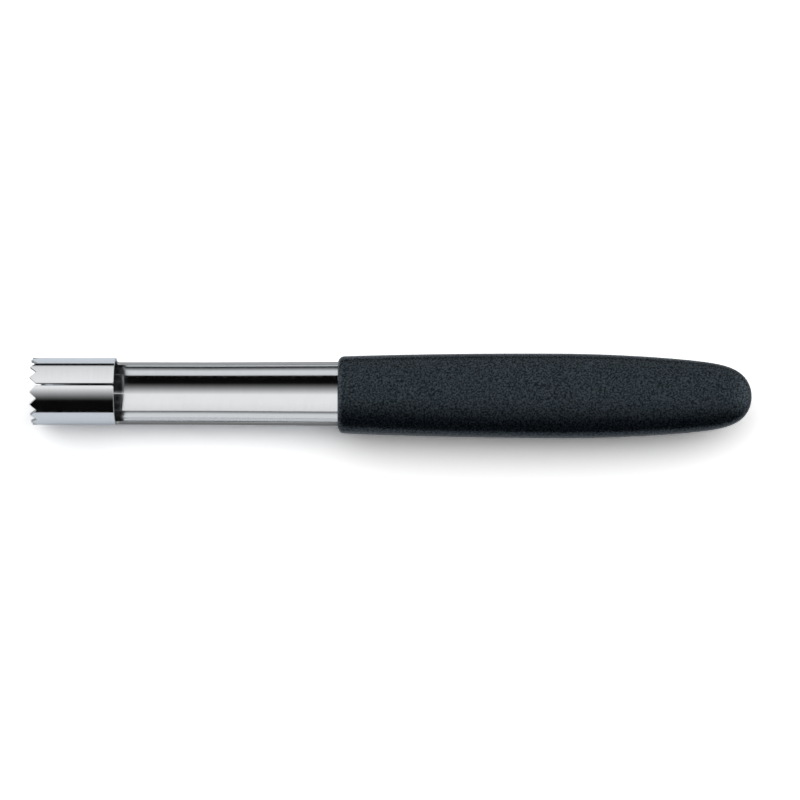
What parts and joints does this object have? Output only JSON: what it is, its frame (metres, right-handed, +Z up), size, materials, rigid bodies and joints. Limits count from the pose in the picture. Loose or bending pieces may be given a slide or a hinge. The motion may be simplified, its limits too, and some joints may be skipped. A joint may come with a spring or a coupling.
{
  "type": "apple corer",
  "caption": "Steel apple corer: a rolled tube with a toothed, seamed head and an open trough, set in a long oval handle of grained black plastic.",
  "frame": {"origin": "middle of the tool's length, on the surface that it lies on", "axes": "+X from the toothed head towards the handle's tail, +Z up, out of the trough's open side"},
  "size_m": [0.1709, 0.0202, 0.0163],
  "materials": {
    "steel": "polished stainless steel with fine grinding lines round the head",
    "plastic": "black moulded plastic with a fine even grain"
  },
  "bodies": {
    "root": {"corer_tube": "steel", "handle": "plastic"}
  },
  "joints": []
}
